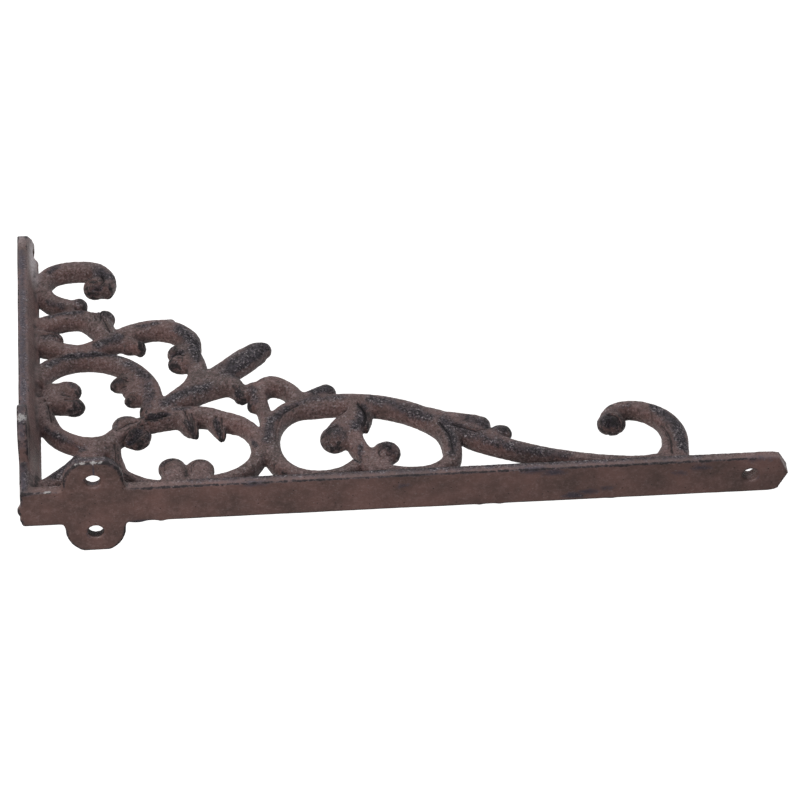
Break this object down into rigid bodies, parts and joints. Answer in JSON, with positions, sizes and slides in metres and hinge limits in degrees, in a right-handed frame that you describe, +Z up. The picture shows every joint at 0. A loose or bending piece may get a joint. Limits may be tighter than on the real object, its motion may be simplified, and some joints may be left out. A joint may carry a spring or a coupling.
{
  "type": "plant hanger bracket",
  "caption": "Cast-iron plant hanger bracket: flat arm and wall leg with cross ears and screw holes, openwork vine scrolls in the corner and a curled hook under the arm.",
  "frame": {"origin": "on the wall face of the leg, midway between the two screw holes of the leg's ear", "axes": "+X runs straight out from the wall along the arm, +Z is up, and the two sides of the casting mirror each other across Y = 0"},
  "size_m": [0.3156, 0.0496, 0.168],
  "materials": {
    "painted_cast_iron": "worn dark brown paint over rough sand-cast iron, rubbed grey-black along the edges"
  },
  "bodies": {
    "root": {"bracket": "painted_cast_iron"}
  },
  "joints": []
}
